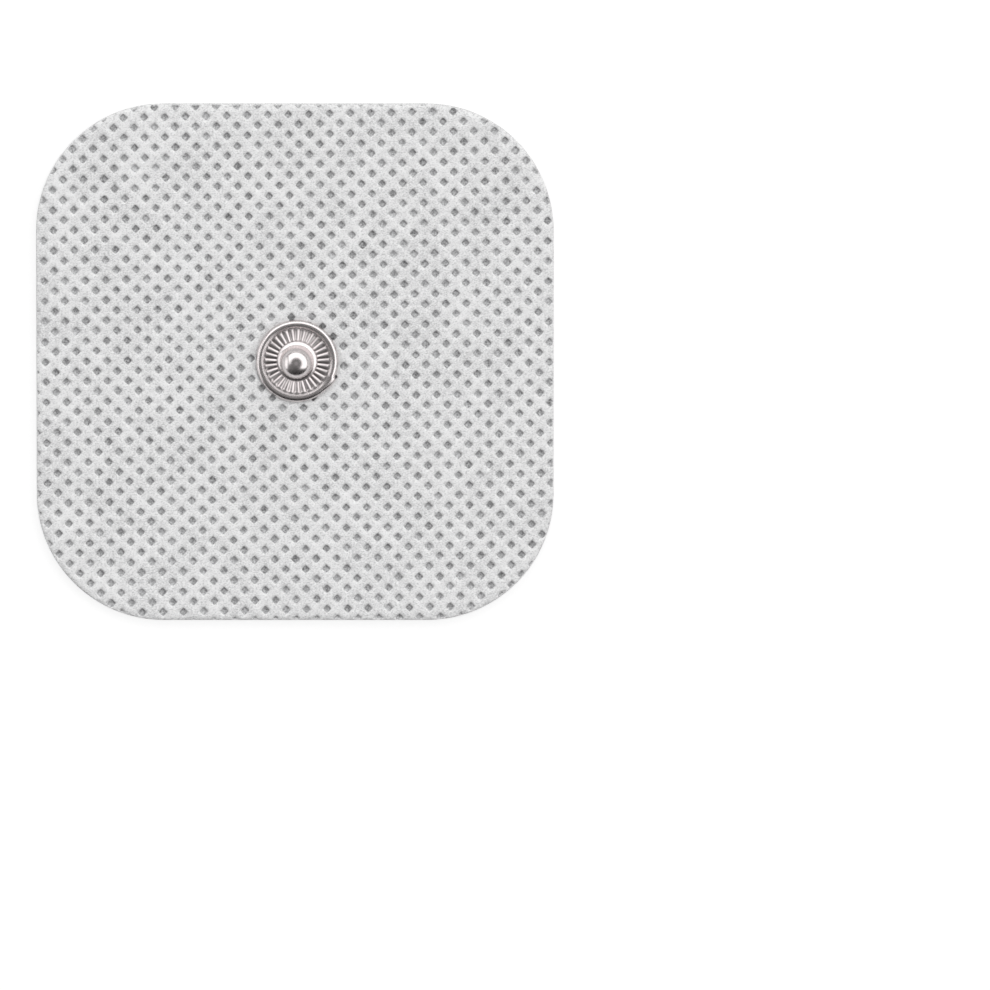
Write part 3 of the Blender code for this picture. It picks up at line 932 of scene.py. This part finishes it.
class PAD_OT_add_gel(bpy.types.Operator):
    """Adds the clear gel, soft at its edges and hollowed for the insulating disc"""

    bl_idname = "electrode_pad.add_gel"
    bl_label = "Gel Sheet"

    def execute(self, context):
        settings = context.scene.pad_layers
        corner_radius = context.scene.pad_cover.corner_radius
        soft = settings.gel_edge
        gap = settings.pocket_gap
        disc_radius = (DISC_HIGH[0] - DISC_LOW[0]) / 2.0
        loops = []
        skin = Skin()
        bottom, top = GEL_LOW[2], GEL_HIGH[2]
        bevel = 0.29 * soft
        rounded = [
            (2.5 * soft, bottom), (soft, bottom), (bevel, bottom + bevel), (0.0, bottom + soft),
            (0.0, top - soft), (bevel, top - bevel), (soft, top), (2.5 * soft, top),
        ]
        for inset, height in rounded:
            flat = outline(GEL_LOW, GEL_HIGH, corner_radius, inset, GEL_SPACING)
            drawn_in = (1.0 + soft_noise(*flat.T, *EDGE_LUMPS)) * EDGE_DEPTH
            away = flat - np.array(middle(GEL_LOW, GEL_HIGH))
            flat = flat - away / np.hypot(*away.T)[:, None] * drawn_in[:, None]
            loops.append(skin.add(at_height(flat, height)))
        for lower, upper in zip(loops, loops[1:]):
            skin.wall(upper, lower)
        rest = DISC_HIGH[2] - DISC_SHEET - GLUE_LINE
        floor = DISC_LOW[2] - GLUE_LINE
        bends = [disc_radius - bend for bend in POCKET_BENDS]
        pocket = [
            (disc_radius + 4.0 * gap, top), (disc_radius + 2.0 * gap, top),
            (disc_radius + gap, rest), (disc_radius, rest), (bends[0], rest), (bends[1], rest),
            (bends[2], floor), (bends[3], floor),
        ]
        rings = [
            skin.add(at_height(ring(radius, POCKET_POINTS), height)) for radius, height in pocket
        ]
        grid = np.column_stack([values.ravel() for values in np.meshgrid(GEL_STEPS, GEL_STEPS)])
        grid = grid[depth_inside(GEL_LOW, GEL_HIGH, corner_radius, *grid.T) > GEL_CLEAR]
        wave = (1.0 + soft_noise(*grid.T, *FACE_LUMPS)) * FACE_DEPTH
        lower_dots = skin.add(at_height(grid, bottom + wave))
        around = from_snap(grid) > disc_radius + 8.0 * gap
        upper_dots = skin.add(at_height(grid[around], top - wave[around]))
        skin.cap([loops[-1]] + rings, upper_dots)
        skin.cap([loops[0]], lower_dots, up=False)
        gel = skin.finish("gel_sheet_clear", gel_material(settings))
        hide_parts("gel_sheet")
        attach(gel, "root")
        return {"FINISHED"}


class PAD_OT_finish_layers(bpy.types.Operator):
    """Gives the film, the disc and the eyelet their finishes"""

    bl_idname = "electrode_pad.finish_layers"
    bl_label = "Film, Disc and Eyelet"

    def execute(self, context):
        settings = context.scene.pad_layers
        finishes = {
            "carbon_film": film_material(settings),
            "insulating_disc": disc_material(settings),
            "snap_eyelet": eyelet_material(settings),
        }
        for node, material in finishes.items():
            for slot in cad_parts[node].material_slots:
                slot.material = material
        return {"FINISHED"}


def table_material(settings):
    """A white top that keeps the pad's shadow, and is clear from below."""
    material = bpy.data.materials.new("table")
    recipe = Recipe(material)
    light_path = recipe.node("ShaderNodeLightPath")
    seen = Signal(recipe, light_path.outputs["Is Camera Ray"])
    seen = seen.at_least(Signal(recipe, light_path.outputs["Is Glossy Ray"]))
    seen = seen.at_least(Signal(recipe, light_path.outputs["Is Transmission Ray"]))
    diffuse = recipe.value("ShaderNodeBsdfDiffuse", sockets={"Color": settings.table_colour})
    glow = recipe.value("ShaderNodeEmission", sockets={"Strength": seen * settings.table_glow})
    top = recipe.value("ShaderNodeAddShader", sockets={0: diffuse, 1: glow})
    clear = recipe.value("ShaderNodeBsdfTransparent")
    below = recipe.value("ShaderNodeNewGeometry", output="Backfacing")
    shader = recipe.value("ShaderNodeMixShader", sockets={0: below, 1: top, 2: clear})
    recipe.node("ShaderNodeOutputMaterial", sockets={"Surface": shader})
    return material


# The window and the side light: where on x, y or z of a direction each edge starts and is full.
WINDOW_SOUTH = (0.0, 0.12)
WINDOW_LEFT = (-0.79, -0.71)
WINDOW_BOTTOM = (0.12, 0.22)
WINDOW_TOP = (0.85, 0.75)
SIDE_RIGHT = (-0.79, -0.87)
SIDE_BOTTOM = (0.02, 0.12)
TOP_EDGE = (0.968, 0.992)

# The room is darker in the south, a little darker overhead, and dark low down but in the north.
SOUTH_START = 0.35
SOUTH_WIDTH = 0.6
SOUTH_DARK = 0.95
OVERHEAD = (0.72, 0.80)
OVERHEAD_DARK = 0.25
LOW_NORTH = (0.86, 0.96)
LOW_TOP = (0.10, 0.32)


def studio_light(settings):
    """The world: white behind the object, and a room with a wide window for its reflections."""
    world = bpy.data.worlds.new("studio")
    recipe = Recipe(world)
    direction = recipe.value("ShaderNodeTexCoord", output="Generated")
    axes = recipe.node("ShaderNodeSeparateXYZ", sockets={"Vector": direction})
    x, y, z = (Signal(recipe, output) for output in axes.outputs)
    level = (x * x + y * y).at_least(0.0001) ** 0.5
    reach = (y + x * 0.42 + z * 0.5 + 0.02).eased(*WINDOW_SOUTH) * x.eased(*WINDOW_LEFT)
    window = reach * z.eased(*WINDOW_BOTTOM) * z.eased(*WINDOW_TOP)
    side = x.eased(*SIDE_RIGHT) * z.eased(*SIDE_BOTTOM)
    south = (y * -1.0 - SOUTH_START).at_least(0.0).at_most(SOUTH_WIDTH) / SOUTH_WIDTH
    southern = 1.0 - south * SOUTH_DARK
    overhead = 1.0 - z.eased(*OVERHEAD) * OVERHEAD_DARK
    horizon = (y / level).eased(*LOW_NORTH).at_least(z.eased(*LOW_TOP))
    room = settings.room_light * southern * overhead * horizon
    above = z.eased(*TOP_EDGE) * settings.top_light
    light = room + above + window * settings.arch_light + side * settings.side_light
    seen = recipe.value("ShaderNodeLightPath", output="Is Camera Ray")
    strength = seen + light * (1.0 - seen)
    background = recipe.value("ShaderNodeBackground", sockets={"Strength": strength})
    recipe.node("ShaderNodeOutputWorld", sockets={"Surface": background})
    return world


LAMP_SIZE = 1.2
LAMP_PLACE = (0.25, 0.35, 1.2)
PICTURE_PIXELS = 990
LENS = 500.0
SENSOR = 36.0


class PAD_OT_add_stage(bpy.types.Operator):
    """Adds the table, the light and the camera"""

    bl_idname = "electrode_pad.add_stage"
    bl_label = "Table, Light and Camera"

    def execute(self, context):
        settings = context.scene.pad_stage
        scene = context.scene
        half = settings.table_size / 2.0
        skin = Skin()
        corners = [(-half, -half, 0.0), (half, -half, 0.0), (half, half, 0.0), (-half, half, 0.0)]
        skin.faces.append(skin.add(corners))
        table = skin.finish("table", table_material(settings))
        scene.world = studio_light(settings)

        lamp = bpy.data.lights.new("fill", "AREA")
        lamp.shape = "DISK"
        lamp.size = LAMP_SIZE
        lamp.energy = settings.fill_power
        fill = bpy.data.objects.new("fill", lamp)
        fill.location = LAMP_PLACE
        fill.rotation_euler = Vector(fill.location).to_track_quat("Z", "Y").to_euler()
        fill.visible_glossy = False
        fill.visible_camera = False
        scene.collection.objects.link(fill)

        metres_per_pixel = (COVER_HIGH[0] - COVER_LOW[0]) / settings.pad_pixels
        distance = PICTURE_PIXELS * metres_per_pixel * LENS / SENSOR
        turn = Euler((-settings.camera_tilt, 0.0, 0.0))
        across = (settings.pad_pixel_x - PICTURE_PIXELS / 2.0) * metres_per_pixel
        up = (PICTURE_PIXELS / 2.0 - settings.pad_pixel_y) * metres_per_pixel
        pad_middle = Vector((*middle(COVER_LOW, COVER_HIGH), COVER_HIGH[2]))
        data = bpy.data.cameras.new("camera")
        data.lens = LENS
        data.sensor_width = SENSOR
        camera = bpy.data.objects.new("camera", data)
        camera.rotation_euler = turn
        camera.location = pad_middle - turn.to_matrix() @ Vector((across, up, -distance))
        scene.collection.objects.link(camera)
        scene.camera = camera
        scene.view_settings.view_transform = "Standard"
        return {"FINISHED"}


class PAD_PT_electrode_pad(bpy.types.Panel):
    """Lists the pad's pieces and their settings"""

    bl_label = "Electrode Pad"
    bl_space_type = "VIEW_3D"
    bl_region_type = "UI"
    bl_category = "Electrode Pad"

    def draw(self, context):
        for operator in OPERATORS:
            self.layout.operator(operator.bl_idname)
        for key in SETTINGS:
            group = getattr(context.scene, key)
            for name in group.__annotations__:
                self.layout.prop(group, name)


SETTINGS = {
    "pad_cover": PadCoverSettings,
    "pad_stud": PadStudSettings,
    "pad_layers": PadLayerSettings,
    "pad_stage": PadStageSettings,
}
OPERATORS = (
    PAD_OT_add_stage,
    PAD_OT_add_cover,
    PAD_OT_add_stud,
    PAD_OT_add_gel,
    PAD_OT_finish_layers,
)
CLASSES = (*SETTINGS.values(), *OPERATORS, PAD_PT_electrode_pad)


def register():
    for item in CLASSES:
        bpy.utils.register_class(item)
    for key, group in SETTINGS.items():
        setattr(bpy.types.Scene, key, PointerProperty(type=group))


def unregister():
    for key in SETTINGS:
        delattr(bpy.types.Scene, key)
    for item in reversed(CLASSES):
        bpy.utils.unregister_class(item)


def main():
    register()
    for operator in OPERATORS:
        group, name = operator.bl_idname.split(".")
        getattr(getattr(bpy.ops, group), name)()


if __name__ == "__main__":
    main()
